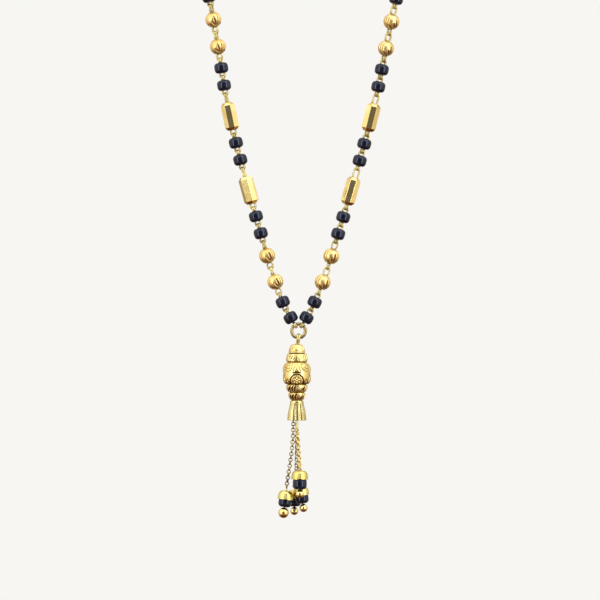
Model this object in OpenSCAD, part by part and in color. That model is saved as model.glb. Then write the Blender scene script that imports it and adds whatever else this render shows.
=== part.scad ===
// Mangalsutra: a closed string of black beads, gold balls and eight-sided gold tubes.
// Each bead is drilled and sits on its own wire pin, with an eye at both ends that hooks
// into the next pin's eye. The two ends of the string meet in a ring at the bottom of the
// front V. The pendant hangs from the ring, with four drops on fine chains below it.
// The origin is the middle of the neck loop, +Z is up and -Y is the front.

/* [Black beads] */
// Diameter of a black bead
black_d = 3.0; // [2.6:0.1:3.4]
// Length of a black bead along its hole
black_length = 2.3; // [1.8:0.05:2.6]
// Radius of a black bead's rounded rims
black_rim_r = 0.75; // [0.5:0.05:0.8]

/* [Gold balls] */
// Diameter of a gold ball
ball_d = 3.4; // [2.8:0.05:3.6]

/* [Gold tubes] */
// Width of a tube over its corners
tube_d = 3.2; // [2.6:0.1:3.4]
// Length of a tube
tube_length = 5.9; // [4:0.1:7]
// Length of the bevel at each end of a tube
tube_bevel = 0.6; // [0.2:0.1:1]
// Width of a tube's end faces over their corners
tube_end_d = 2.1; // [1.7:0.1:2.5]

/* [Wire eyes] */
// Thickness of the wire
wire_d = 0.24; // [0.2:0.02:0.26]
// Diameter of an eye at the middle of its wire
eye_d = 1.1; // [1.04:0.02:1.2]
// Distance from a black bead's face to the middle of the joint
black_reach = 0.7; // [0.7:0.02:1.2]
// Distance from a ball's lower end to the middle of the joint
ball_lower_reach = 1.0; // [0.8:0.05:1.4]
// Distance from a ball's upper end to the middle of the joint
ball_upper_reach = 1.35; // [1:0.05:2]
// Distance from a tube's lower end to the middle of the joint
tube_lower_reach = 0.9; // [0.8:0.05:1.4]
// Distance from a tube's upper end to the middle of the joint
tube_upper_reach = 1.85; // [1:0.05:2.2]

/* [Ring] */
// Outer diameter of the ring
ring_d = 3.6; // [3.4:0.1:4.2]
// Thickness of the ring's wire
ring_wire_d = 0.72; // [0.5:0.02:0.8]
// Distance from the ring's wire to the face of the first bead
end_reach = 0.66; // [0.64:0.02:0.8]

/* [Pendant] */
// Distance that the pendant hangs to the left of the ring's middle
pendant_left = 0.36; // [0:0.02:0.4]
// Thickness of the wire of the pendant's top eye
top_wire_d = 0.4; // [0.3:0.02:0.44]
// Outer diameter of the pendant's top eye
top_eye_d = 2.2; // [2.2:0.05:2.6]
// Thickness of the rod that carries the pendant's pieces
rod_d = 0.6; // [0.4:0.05:0.8]
// Thickness of the pendant's sheet walls
shell = 0.35; // [0.25:0.05:0.45]
// Width of the crown cap at its top
crown_top_d = 2.1; // [1.8:0.1:2.6]
// Width of the crown cap at its rim
crown_d = 3.6; // [3.2:0.1:4]
// Height of the crown cap
crown_h = 1.87; // [1.5:0.05:2.4]
// Width of the upper collar
upper_collar_d = 4.6; // [4.2:0.1:5]
// Height of the upper collar
upper_collar_h = 1.76; // [1.4:0.05:2.2]
// Width of the globe
globe_d = 5.9; // [5.4:0.05:6.4]
// Height of the globe
globe_h = 4.7; // [4:0.1:5]
// Width of the middle collar
middle_collar_d = 4.55; // [4.1:0.05:4.9]
// Height of the middle collar
middle_collar_h = 1.62; // [1.3:0.05:2]
// Width of the lower collar
lower_collar_d = 3.65; // [3.2:0.05:4]
// Height of the lower collar
lower_collar_h = 1.56; // [1.2:0.05:2]
// Width of the skirt at its top
skirt_top_d = 2.8; // [2.5:0.1:3.2]
// Width of the skirt at its hem
skirt_d = 4.1; // [3.7:0.1:4.8]
// Height of the skirt
skirt_h = 4.2; // [3.5:0.1:5]
// Number of flutes round the skirt
skirt_flutes = 14; // [10:1:16]
// Number of slanted cuts round each collar
collar_cuts = 12; // [8:1:14]
// Share of its radius that the globe loses towards its top and bottom
globe_taper = 0.21; // [0.1:0.01:0.3]
// Radius of a round medallion on the globe
medallion_r = 1.42; // [1.2:0.02:1.5]
// Radius of a small ring on the globe
small_ring_r = 1.0; // [0.8:0.05:1.1]
// Width of a raised point on the globe
point_w = 1.6; // [1.2:0.1:1.8]
// Height of the globe's raised points and depth of its grooves
relief_h = 0.12; // [0.08:0.01:0.16]

/* [Tassel] */
// Thickness of the wire loop that holds the chains, which is seen edge on from the front
loop_wire_d = 0.54; // [0.4:0.02:0.6]
// Width of the chain loop at the middle of its wire
loop_w = 1.3; // [1.1:0.05:1.5]
// Distance that the chain loop hangs below the skirt
loop_drop = 2.2; // [1.5:0.1:3]
// Thickness of a tassel chain
chain_d = 0.7; // [0.5:0.05:0.72]
// Height of a drop's cap down to the points of its petals
cap_h = 1.9; // [1.6:0.05:2.1]
// Number of petals on a drop's cap
cap_petals = 6; // [5:1:8]
// Thickness of the wire through a drop
drop_wire_d = 0.22; // [0.18:0.02:0.26]
// Thickness of a drop's cap
cap_wall = 0.14; // [0.12:0.01:0.18]

/* [Clasp] */
// Width of the clasp's barrel
clasp_d = 2.4; // [1.8:0.1:3]

/* [Fits] */
// Smallest gap between two hooked wires
hook_gap = 0.16; // [0.14:0.01:0.18]
// Gap between a pin and the hole that it runs through
hole_gap = 0.13; // [0.1:0.01:0.16]
// Gap between a drop's bead and the rim of its cap
cap_gap = 0.14; // [0.12:0.01:0.16]
// Gap between two pieces that are stacked on the pendant's rod
seam_gap = 0.06; // [0.05:0.01:0.12]

/* [Hidden] */
// Height of the neck loop's middle above the ring's centre
ring_drop = 120;
// Distance from the neck loop's middle to the plane of the front V
front_y = 60;
// The string's route, from the second bead to the nape. Columns: height above the ring's
// centre, distance behind the front V, distance from the middle on the left and the right
route_points = [
    [10, 0, 4.85, 5.05],
    [20, 0, 7.8, 8.2],
    [30, 0, 10.6, 11.2],
    [40, 0, 13.3, 14.0],
    [50, 0, 15.4, 16.5],
    [60, 0, 17.0, 18.5],
    [70, 0, 18.8, 20.6],
    [82, 2, 22.5, 24],
    [95, 8, 30, 31],
    [108, 19, 41, 41],
    [119, 34, 51, 51],
    [128, 52, 57, 57],
    [135, 72, 56, 56],
    [140, 92, 46, 46],
    [143, 107, 28, 28],
    [144, 113, 10, 10],
    [144, 114, 0, 0]
];
// Steps between two route points
route_steps = 4;
// The longest stretch that the clasp bridges, from the last joint to the nape
clasp_half_min = 4;

// Bead kinds by row. Columns: length, lower reach, upper reach, plain name
BLACK = 0;
BALL = 1;
TUBE = 2;
bead_kinds = [
    [black_length, black_reach, black_reach, "black_bead"],
    [ball_d, ball_lower_reach, ball_upper_reach, "gold_ball"],
    [tube_length, tube_lower_reach, tube_upper_reach, "gold_tube"]
];
// Order of the kinds from the ring upward, which then repeats
pattern = [BLACK, BLACK, BALL, BALL, BLACK, BLACK, TUBE, BLACK, BLACK, TUBE];
// Beads on each side that are nodes of their own
front_beads = 14;

// The four drops. Columns: name, across, back, cap top below the ring's centre, lean,
// bead width, bead length, bead top below the cap top, tip width
drops = [
    ["left", -2.5, -1.0, 33.6, -8, 2.85, 2.25, 1.25, 2.25],
    ["right", 0.33, 0.15, 32.8, 9, 2.85, 2.35, 1.25, 1.75],
    ["back", -0.9, 3.4, 33.6, 0, 2.85, 2.25, 1.25, 1.75],
    ["upper", 0.26, -2.5, 29.3, 0, 3.0, 2.5, 1.5, 1.75]
];
// Where the chains start and bend, in the order of the drops. The left one starts in the
// skirt's mouth beside the loop, the others below the loop, one behind the other.
// Columns: start across and back from the pendant's middle, start below the hem, bend across
// and back from the ring's middle, bend below the ring's centre
chain_routes = [
    [-0.74, -0.45, -0.6, -1.32, -0.62, 24.2],
    [0.06, 0, loop_drop, 0.1, 0.05, 27.5],
    [0.04, 0.8, loop_drop, -0.5, 2.5, 29.5],
    [0.12, -0.8, loop_drop, 0.08, -1.5, 25.5]
];

wire_r = wire_d / 2;
// Each eye is two turns of wire side by side: half the distance between the turns
turn_offset = wire_r * 0.85;
shaft_r = wire_r * 0.9;
eye_r = eye_d / 2;
eye_outer_r = eye_r + wire_r;
hole_r = shaft_r + hole_gap;
// Half width of the flat inner side of an eye's two turns
flat_half = turn_offset + 0.42 * wire_r;
// Rise of an eye's outer side over that half width
flat_rise = eye_outer_r - sqrt(pow(eye_outer_r, 2) - pow(flat_half, 2));
// Distance from a joint's middle to the middle of each hooked wire
hook_offset = (eye_outer_r + flat_rise
    - sqrt(pow(eye_r - wire_r - hook_gap, 2) - pow(flat_half, 2))) / 2;
// Depth of an eye's root below the bead's face, which makes a black bead's eye round
eye_sink = max(0.1, wire_r + eye_d - black_reach - hook_offset);
mouth_r = hook_gap
    + sqrt(pow(eye_outer_r, 2) - pow(eye_outer_r - eye_sink, 2) + pow(flat_half, 2));
mouth_depth = eye_sink + 0.22;
// The mouth of a tube is as wide over its flats as the other mouths
tube_sides = 8;
tube_mouth_r = mouth_r / cos(180 / tube_sides);
tube_hole_r = hole_r / cos(180 / tube_sides);

ring_r = (ring_d - ring_wire_d) / 2;
// The string's two ends spread from the ring so far that their beads just clear each other
end_run = ring_r + end_reach + black_rim_r;
end_side = black_d / 2 - black_rim_r;
end_angle = asin((black_rim_r + hole_gap / 2) / norm([end_run, end_side])) + atan(end_side / end_run);
end_eye_r = ring_wire_d / 2 + wire_r + hole_gap;
top_eye_r = (top_eye_d - top_wire_d) / 2;
// The top eye hangs on the ring's lowest point, clear of the ring's curve
ring_sag = ring_r - sqrt(pow(ring_r, 2) - pow(top_wire_d, 2));
top_eye_z = -ring_r - top_eye_r + ring_wire_d / 2 + top_wire_d / 2 + ring_sag + hook_gap;
rod_r = rod_d / 2;
rod_hole_r = rod_r + seam_gap;
// The top eye stands to the right of the rod and leans, so that it hooks the ring at its lowest point
top_eye_side = 0.6 * pendant_left;
top_eye_lean = atan(0.6 * pendant_left / top_eye_d);
crown_z = top_eye_z - top_eye_d / 2 - 0.15;
upper_collar_z = crown_z - crown_h - seam_gap;
globe_z = upper_collar_z - upper_collar_h - seam_gap;
middle_collar_z = globe_z - globe_h - seam_gap;
lower_collar_z = middle_collar_z - middle_collar_h - seam_gap;
skirt_z = lower_collar_z - lower_collar_h - seam_gap;
hem_z = skirt_z - skirt_h;
loop_bottom_z = hem_z - loop_drop;
chain_gap = loop_wire_d / 2 + hook_gap;
drop_wire_r = drop_wire_d / 2;
drop_hole_r = drop_wire_r + hole_gap;
drop_eye_r = 0.32;
drop_eye_z = drop_eye_r + drop_wire_r + seam_gap;

// Vectors and routes
function unit(v) = v / norm(v);
function last(v) = v[len(v) - 1];
function blend(a, b, c, d, t) = (2 * b + (c - a) * t + (2 * a - 5 * b + 4 * c - d) * t * t
    + (3 * b - a - 3 * c + d) * t * t * t) / 2;
function smooth(p, steps) = concat([for (i = [0:len(p) - 2], k = [0:steps - 1])
    blend(p[max(i - 1, 0)], p[i], p[i + 1], p[min(i + 2, len(p) - 1)], k / steps)], [last(p)]);
function route_length(p, i = 0) = i >= len(p) - 1 ? 0
    : norm(p[i + 1] - p[i]) + route_length(p, i + 1);
function along(p, s, i = 0) = let (step = norm(p[i + 1] - p[i]))
    s <= step || i >= len(p) - 2 ? p[i] + (p[i + 1] - p[i]) * s / step : along(p, s - step, i + 1);

// Beads and joints on one side: -1 is the left, 1 is the right
function kind(i) = pattern[i % len(pattern)];
function bead_length(i) = bead_kinds[kind(i)][0];
function lower_reach(i) = i == 0 ? end_reach : bead_kinds[kind(i)][1];
function upper_reach(i) = bead_kinds[kind(i)][2];
function pitch(i) = lower_reach(i) + bead_length(i) + upper_reach(i);
function pitch_sum(i) = i <= 0 ? 0 : pitch(i) + pitch_sum(i - 1);
function end_direction(side) = [side * sin(end_angle), 0, cos(end_angle)];
function first_joint(side) = end_direction(side) * ring_r;
function second_joint(side) = end_direction(side) * (ring_r + pitch(0));
function route(side) = smooth(concat([second_joint(side)],
    [for (p = route_points) [side * (side < 0 ? p[2] : p[3]), p[1], p[0]]]), route_steps);
left_route = route(-1);
right_route = route(1);
shorter_route = min(route_length(left_route), route_length(right_route));
function beads_within(room, i = 1) = pitch(i) > room ? i : beads_within(room - pitch(i), i + 1);
side_beads = beads_within(shorter_route - clasp_half_min);
function joint(side, k) = k == 0 ? first_joint(side)
    : along(side < 0 ? left_route : right_route, pitch_sum(k - 1));
left_joints = [for (k = [0:side_beads]) joint(-1, k)];
right_joints = [for (k = [0:side_beads]) joint(1, k)];
function joints(side) = side < 0 ? left_joints : right_joints;

// A frame at p along t: the face-on direction is across it, and its back faces the neck
function frame_at(p, t) =
    let (out = [p[0], p[1] - front_y, 0], back = -unit(out - (out * t) * t), across = cross(back, t))
    [[across[0], back[0], t[0], p[0]], [across[1], back[1], t[1], p[1]],
     [across[2], back[2], t[2], p[2]], [0, 0, 0, 1]];
function bead_frame(side, i) =
    let (low = joints(side)[i], t = unit(joints(side)[i + 1] - low))
    frame_at(low + t * (lower_reach(i) + bead_length(i) / 2), t);
module in_place() translate([0, -front_y, -ring_drop]) children();
module pendant_place() in_place() translate([-pendant_left, 0, 0]) children();

// Beads
function rim(r, h, corner, steps = 6) = concat(
    [for (k = [0:steps]) [r - corner + corner * sin(90 * k / steps),
        corner - h / 2 - corner * cos(90 * k / steps)]],
    [for (k = [0:steps]) [r - corner + corner * cos(90 * k / steps),
        h / 2 - corner + corner * sin(90 * k / steps)]]);
module drilled_bead(d, h, corner, hole, mouth, depth)
    rotate_extrude($fn = 48)
        difference() {
            polygon(concat([[hole, -h / 2]], rim(d / 2, h, corner), [[hole, h / 2]]));
            for (s = [0, 1]) mirror([0, s])
                polygon([[0, h / 2 + 0.1], [mouth + 0.1 * (mouth - hole) / depth, h / 2 + 0.1],
                    [hole, h / 2 - depth], [0, h / 2 - depth]]);
        }

module black_bead() color("#15151f")
    drilled_bead(black_d, black_length, black_rim_r, hole_r, mouth_r, mouth_depth);

module gold_ball() color("gold")
    rotate_extrude($fn = 48)
        difference() {
            circle(d = ball_d, $fn = 48);
            translate([-ball_d, -ball_d]) square([ball_d + hole_r, 2 * ball_d]);
            for (s = [0, 1]) mirror([0, s])
                polygon([[0, ball_d / 2 + 0.1], [mouth_r + 0.1 * (mouth_r - hole_r) / mouth_depth,
                    ball_d / 2 + 0.1], [hole_r, ball_d / 2 - mouth_depth], [0, ball_d / 2 - mouth_depth]]);
        }

module gold_tube() color("gold")
    rotate_extrude($fn = tube_sides)
        polygon([
            [tube_end_d / 2, -tube_length / 2], [tube_d / 2, tube_bevel - tube_length / 2],
            [tube_d / 2, tube_length / 2 - tube_bevel], [tube_end_d / 2, tube_length / 2],
            [tube_mouth_r, tube_length / 2], [tube_hole_r, tube_length / 2 - mouth_depth],
            [tube_hole_r, mouth_depth - tube_length / 2], [tube_mouth_r, -tube_length / 2]
        ]);

module bead(side, i) multmatrix(bead_frame(side, i)) {
    if (kind(i) == BLACK) black_bead();
    if (kind(i) == BALL) gold_ball();
    if (kind(i) == TUBE) rotate([0, 0, 22.5 * (i + side)]) gold_tube();
}
function bead_name(side, i) =
    str(bead_kinds[kind(i)][3], side < 0 ? "_left_" : "_right_", i + 1);
module back_beads(wanted) in_place()
    for (side = [-1, 1], i = [front_beads:side_beads - 1]) if (kind(i) == wanted) bead(side, i);

// Wire eyes
module turns(r, offset)
    polygon([for (q = [[1, 0.42], [0.42, 1], [-0.42, 1], [-1, 0.42],
        [-1, -0.42], [-0.42, -1], [0.42, -1], [1, -0.42]]) [r * q[0], r * q[1] + sign(q[1]) * offset]]);
module ring_of_turns(mean_r, r, offset) rotate([90, 0, 0])
    rotate_extrude($fn = 24) translate([mean_r, 0]) turns(r, offset);
module half_eye() rotate([90, 0, 0])
    rotate_extrude(angle = 180, $fn = 24) translate([eye_r, 0]) turns(wire_r, turn_offset);
// An eye that stands on a bead's face and reaches past the joint, seen face on from the front.
// A long one has two straight legs
module eye(reach) {
    root = wire_r - eye_sink + eye_r;
    straight = reach + hook_offset - eye_r - root;
    translate([0, 0, root])
        if (straight < 0.01) ring_of_turns(eye_r, wire_r, turn_offset);
        else {
            mirror([0, 0, 1]) half_eye();
            translate([0, 0, straight]) half_eye();
            for (s = [-1, 1]) translate([s * eye_r, 0, 0])
                linear_extrude(straight) turns(wire_r, turn_offset);
        }
}
module eye_pin(side, i) {
    half = bead_length(i) / 2;
    lower_depth = i == 0 ? end_eye_r - end_reach : eye_sink;
    union() {
        translate([0, 0, lower_depth - wire_r - half])
            cylinder(h = 2 * half - lower_depth - eye_sink + 2 * wire_r, r = shaft_r, $fn = 36);
        translate([0, 0, half]) rotate([0, 0, side < 0 ? 90 : 0]) eye(upper_reach(i));
        if (i == 0)
            translate([0, 0, -half - end_reach]) rotate([0, 0, 90])
                ring_of_turns(end_eye_r, wire_r, turn_offset);
        else
            translate([0, 0, -half]) mirror([0, 0, 1]) rotate([0, 0, side < 0 ? 0 : 90])
                eye(lower_reach(i));
    }
}
module pins(side, from, to) color("goldenrod") in_place()
    for (i = [from:to]) multmatrix(bead_frame(side, i)) eye_pin(side, i);
module end_pin_left() pins(-1, 0, 0);
module end_pin_right() pins(1, 0, 0);
module link_pins_left() pins(-1, 1, side_beads - 1);
module link_pins_right() pins(1, 1, side_beads - 1);

// Clasp at the nape: a plain barrel with a soldered eye at each end
module clasp() {
    a = last(left_joints);
    b = last(right_joints);
    t = unit(b - a);
    half = norm(b - a) / 2 - black_reach;
    color("gold") in_place() multmatrix(frame_at((a + b) / 2, t)) {
        rotate_extrude($fn = 48) polygon(concat([[0, -half]], rim(clasp_d / 2, 2 * half, clasp_d / 5),
            [[0, half]]));
        mirror([0, 0, 1]) eye(black_reach);
        rotate([0, 0, 90]) translate([0, 0, half]) eye(black_reach);
    }
}

// Ring and pendant, drawn round the ring's centre
module pendant_ring() color("gold") in_place()
    rotate([90, 0, 0]) rotate_extrude($fn = 48) translate([ring_r, 0]) circle(d = ring_wire_d, $fn = 36);

module pendant_core() color("goldenrod") pendant_place() {
    translate([top_eye_side, 0, top_eye_z - top_eye_r]) rotate([0, top_eye_lean, 0])
        translate([0, 0, top_eye_r]) rotate([0, 0, 90])
            ring_of_turns(top_eye_r, top_wire_d / 2, top_wire_d * 0.58);
    stop_z = skirt_z - shell - seam_gap;
    loop_top_z = stop_z - 0.3 - loop_w / 2;
    translate([0, 0, stop_z - 0.3])
        cylinder(h = top_eye_z - top_eye_r - stop_z + 0.3, r = rod_r, $fn = 36);
    translate([0, 0, stop_z - 0.3]) cylinder(h = 0.3, d = rod_d + 2 * shell, $fn = 36);
    rotate([90, 0, 90]) {
        translate([0, loop_top_z]) rotate_extrude(angle = 180, $fn = 36)
            translate([loop_w / 2, 0]) circle(d = loop_wire_d, $fn = 36);
        translate([0, loop_bottom_z + loop_w / 2]) mirror([0, 1, 0])
            rotate_extrude(angle = 180, $fn = 36)
                translate([loop_w / 2, 0]) circle(d = loop_wire_d, $fn = 36);
    }
    for (s = [-1, 1]) translate([0, s * loop_w / 2, loop_bottom_z + loop_w / 2])
        cylinder(h = loop_top_z - loop_bottom_z - loop_w / 2, d = loop_wire_d, $fn = 36);
}

// A domed cap hung from its top, open below. Columns: share of the height, share of the flare
dome = [[0, 0], [0.12, 0.3], [0.3, 0.58], [0.55, 0.82], [0.8, 0.95], [1, 1]];
module dome_cap(top_d, rim_d, h, wall, hole)
    rotate_extrude($fn = 48) polygon(concat(
        [[hole, 0]],
        [for (q = dome) [top_d / 2 + q[1] * (rim_d - top_d) / 2, -q[0] * h]],
        [for (k = [len(dome) - 1:-1:1])
            [top_d / 2 + dome[k][1] * (rim_d - top_d) / 2 - wall, -max(dome[k][0] * h, wall)]],
        [[hole, -wall]]));

module crown_cap() color("gold") pendant_place() translate([0, 0, crown_z])
    dome_cap(crown_top_d, crown_d, crown_h, shell, rod_hole_r);

// A drilled collar cut by slanted gouges. Columns: share of the height, share of the radius
widening = [[0, 0.88], [0.2, 0.93], [0.45, 0.98], [0.75, 1], [1, 0.98]];
narrowing = [[0, 0.99], [0.25, 1], [0.5, 0.96], [0.75, 0.89], [1, 0.78]];
rounded = [[0, 0.97], [0.2, 1], [0.45, 0.98], [0.75, 0.87], [1, 0.73]];
module collar(d, h, form, gouge_r, slant)
    difference() {
        rotate_extrude($fn = 48) polygon(concat([[rod_hole_r, 0]],
            [for (q = form) [q[1] * d / 2, -q[0] * h]], [[rod_hole_r, -h]]));
        for (k = [0:collar_cuts - 1]) rotate([0, 0, 360 * k / collar_cuts])
            translate([d / 2 + gouge_r * 0.55, 0, -h / 2]) rotate([-slant, 0, 0])
                cylinder(h = 2 * h, r = gouge_r, center = true, $fn = 32);
    }
module upper_collar() color("gold") pendant_place() translate([0, 0, upper_collar_z])
    collar(upper_collar_d, upper_collar_h, widening, 0.26, 24);
module middle_collar() color("gold") pendant_place() translate([0, 0, middle_collar_z])
    collar(middle_collar_d, middle_collar_h, narrowing, 0.3, 20);
module lower_collar() color("gold") pendant_place() translate([0, 0, lower_collar_z])
    collar(lower_collar_d, lower_collar_h, rounded, 0.26, 20);

// Globe: a hollow barrel-shaped ball. Its sides are engraved with a round medallion four times
// round its lower half and a small ring between them above, over which stands a raised point
function globe_r(z) = globe_d / 2 * (1 - globe_taper * pow(2 * z / globe_h, 4));
module globe_body(out, half, steps = 16)
    rotate_extrude($fn = 48) polygon(concat([[0, -half]],
        [for (k = [-steps / 2:steps / 2]) let (z = 2 * k / steps * half) [globe_r(z) + out, z]],
        [[0, half]]));
// A flat outline on the globe's side, drawn through the wall
module on_side(turn) rotate([90, 0, turn + 90]) linear_extrude(globe_d) children();
module band_of(r, w) difference() {
    circle(r + w / 2, $fn = 36);
    circle(r - w / 2, $fn = 36);
}
module engraving() for (k = [0:3]) {
    on_side(90 * k - 90) translate([0, -0.35 * globe_h]) band_of(medallion_r, 0.32);
    on_side(90 * k - 45) translate([0, 0.27 * globe_h]) band_of(small_ring_r, 0.2);
}
module globe() color("gold") pendant_place() translate([0, 0, globe_z - globe_h / 2])
    difference() {
        union() {
            globe_body(0, globe_h / 2);
            intersection() {
                globe_body(relief_h, globe_h / 2);
                for (k = [0:3]) on_side(90 * k - 90) polygon([[-point_w / 2, 0.08 * globe_h],
                    [point_w / 2, 0.08 * globe_h], [0, 0.45 * globe_h]]);
            }
        }
        difference() {
            engraving();
            globe_body(-relief_h, globe_h / 2 + seam_gap);
        }
        globe_body(-shell, globe_h / 2 - shell);
        cylinder(h = 2 * globe_h, r = rod_hole_r, center = true, $fn = 36);
    }

// Skirt: a flared, fluted shell. Columns: share of the height, share of the flare
flare = [[0, 0], [0.25, 0.2], [0.5, 0.6], [0.75, 0.85], [1, 1]];
function flare_r(q) = (skirt_top_d + q * (skirt_d - skirt_top_d)) / 2;
module skirt() color("gold") pendant_place() translate([0, 0, skirt_z])
    difference() {
        rotate_extrude($fn = 48) polygon(concat([[rod_hole_r, 0]],
            [for (q = flare) [flare_r(q[1]), -q[0] * skirt_h]],
            [for (k = [len(flare) - 1:-1:1]) [flare_r(flare[k][1]) - shell, -flare[k][0] * skirt_h]],
            [[flare_r(0) - shell, -shell], [rod_hole_r, -shell]]));
        for (k = [0:skirt_flutes - 1]) rotate([0, 0, 360 * k / skirt_flutes])
            translate([skirt_d / 2 + 0.05, 0, -skirt_h - 0.01]) rotate([0, -7, 0])
                cylinder(h = skirt_h * 0.9, r = 0.16, $fn = 32);
    }

// Tassel chains: each tube follows its own chain from its start to a drop
function chain_path(k) = let (d = drops[k], c = chain_routes[k])
    [[c[0] - pendant_left, c[1], hem_z - c[2] - (c[2] > 0 ? chain_gap : 0)], [c[3], c[4], -c[5]],
     [d[1], d[2], -d[3] + drop_eye_z + drop_eye_r + drop_wire_r + 1.2 * hook_gap]];
module tube_along(path, d, sides) {
    rings = [for (i = [0:len(path) - 1])
        let (t = unit(path[min(i + 1, len(path) - 1)] - path[max(i - 1, 0)]),
            x = unit(cross([0, 1, 0], t)), y = cross(t, x))
        [for (k = [0:sides - 1]) path[i] + (x * cos(360 * k / sides) + y * sin(360 * k / sides)) * d / 2]];
    n = len(path);
    polyhedron([for (r = rings, p = r) p], concat(
        [[for (k = [sides - 1:-1:0]) k]],
        [for (i = [0:n - 2], k = [0:sides - 1]) let (j = (k + 1) % sides)
            [i * sides + k, i * sides + j, (i + 1) * sides + j, (i + 1) * sides + k]],
        [[for (k = [0:sides - 1]) (n - 1) * sides + k]]));
}
module tassel_chain(k) color("gold") in_place() tube_along(smooth(chain_path(k), 4), chain_d, 8);

// Drops: a petal cap and a black bead on a wire pin with a soldered gold tip
module at_drop(k) in_place() translate([drops[k][1], drops[k][2], -drops[k][3]])
    rotate([0, -drops[k][4], 0]) children();
cap_top_d = 1.8;
notch_h = 0.26;
module drop_cap(k) color("gold") at_drop(k) {
    rim_d = drops[k][5] + 2 * (cap_wall + cap_gap);
    difference() {
        dome_cap(cap_top_d, rim_d, cap_h, cap_wall, drop_hole_r);
        for (n = [0:cap_petals - 1]) rotate([0, 0, 360 * (n + 0.5) / cap_petals])
            translate([rim_d / 4, 0, -cap_h]) rotate([90, 0, 90]) linear_extrude(rim_d / 2)
                polygon([[-rim_d * 0.22, -0.1], [0, notch_h], [rim_d * 0.22, -0.1]]);
    }
}
function bead_bottom(k) = -drops[k][7] - drops[k][6];
module drop_bead(k) color("#15151f") at_drop(k) translate([0, 0, bead_bottom(k) + drops[k][6] / 2])
    drilled_bead(drops[k][5], drops[k][6], black_rim_r, drop_hole_r, drop_hole_r + 0.2, 0.2);
module drop_tip(k) color("goldenrod") at_drop(k) {
    tip_d = drops[k][8];
    tip_z = bead_bottom(k) - hook_gap - tip_d / 2;
    translate([0, 0, tip_z]) sphere(d = tip_d, $fn = 48);
    translate([0, 0, tip_z]) cylinder(h = -tip_z + drop_eye_z - drop_eye_r, r = drop_wire_r, $fn = 36);
    translate([0, 0, drop_eye_z]) rotate([0, 0, 90]) rotate([90, 0, 0])
        rotate_extrude($fn = 36) translate([drop_eye_r, 0]) circle(drop_wire_r * 1.05, $fn = 24);
}

// Nodes
sides = [-1, 1];

for (side = sides, i = [0:front_beads - 1])
    in_place() bead(side, i);
back_beads(BLACK);  // back_black_beads
back_beads(BALL);  // back_gold_balls
back_beads(TUBE);  // back_gold_tubes
end_pin_left();
end_pin_right();
link_pins_left();
link_pins_right();
clasp();
pendant_ring();
pendant_core();
crown_cap();
upper_collar();
globe();
middle_collar();
lower_collar();
skirt();
for (k = [0:len(drops) - 1]) {
    tassel_chain(k);
    drop_cap(k);
    drop_bead(k);
    drop_tip(k);
}
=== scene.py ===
"""Looks of the mangalsutra: black glass beads, gold balls and eight-sided gold tubes on wire eyes,
with a stacked pendant and a tassel of four drops. Lengths are in millimetres round the ring's
centre, as in the solids, until a piece is made: piece() turns them into metres in the row frame."""

import math
import random

import bpy
import numpy as np
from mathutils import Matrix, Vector


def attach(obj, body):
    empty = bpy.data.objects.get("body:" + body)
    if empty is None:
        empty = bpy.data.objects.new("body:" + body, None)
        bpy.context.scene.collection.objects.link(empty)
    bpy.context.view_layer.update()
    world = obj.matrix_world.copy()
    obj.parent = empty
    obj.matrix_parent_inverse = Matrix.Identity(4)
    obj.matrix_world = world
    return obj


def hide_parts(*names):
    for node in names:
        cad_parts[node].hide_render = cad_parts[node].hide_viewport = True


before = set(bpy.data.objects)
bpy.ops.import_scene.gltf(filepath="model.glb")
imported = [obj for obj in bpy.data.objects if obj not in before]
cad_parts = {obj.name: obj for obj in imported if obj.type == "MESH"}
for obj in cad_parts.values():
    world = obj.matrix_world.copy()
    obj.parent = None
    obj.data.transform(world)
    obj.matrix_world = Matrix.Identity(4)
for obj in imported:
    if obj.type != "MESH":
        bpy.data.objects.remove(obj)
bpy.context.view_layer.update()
rng = random.Random(11)

# The ring's centre in the row frame
FRONT_Y = 60.0
RING_DROP = 120.0
RING_CENTRE = np.array([0, -FRONT_Y, -RING_DROP])

# Sizes of the solids, named as in the source. An R is half of the source's d
BLACK_D, BLACK_LENGTH, BLACK_RIM_R = 3.0, 2.3, 0.75
BALL_D = 3.4
TUBE_D, TUBE_LENGTH, TUBE_BEVEL, TUBE_END_D, TUBE_SIDES = 3.2, 5.9, 0.6, 2.1, 8
WIRE_R, EYE_R, HOOK_GAP, HOLE_GAP, SEAM_GAP = 0.12, 0.55, 0.16, 0.13, 0.06
# The wire as it is seen: a little thicker than the solids', its two turns apart at the eye's root
SEEN_WIRE_R, SEEN_OFFSET, ROOT_OFFSET, SEEN_LOOP_R = 0.165, 0.16, 0.26, 0.31
# Share of its radius that an open wire keeps at its ends
WIRE_TIP = 0.6
BLACK_REACH = 0.7
RING_R, RING_WIRE_R, END_REACH = 1.44, 0.36, 0.66
TOP_WIRE_R, TOP_EYE_D = 0.2, 2.2
SHELL, ROD_R = 0.35, 0.3
PENDANT_LEFT = 0.36
CROWN_TOP_D, CROWN_D, CROWN_H = 2.1, 3.6, 1.87
GLOBE_D, GLOBE_H, GLOBE_TAPER = 5.9, 4.7, 0.21
SKIRT_TOP_D, SKIRT_D, SKIRT_H, SKIRT_FLUTES = 2.8, 4.1, 4.2, 14
LOOP_WIRE_R, LOOP_W, LOOP_DROP = 0.27, 1.3, 2.2
CAP_TOP_D, CAP_H, CAP_PETALS, CAP_WALL, CAP_GAP = 1.8, 1.9, 6, 0.14, 0.14
DROP_WIRE_R, DROP_EYE_R = 0.11, 0.32
CLASP_D = 2.4

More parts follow.
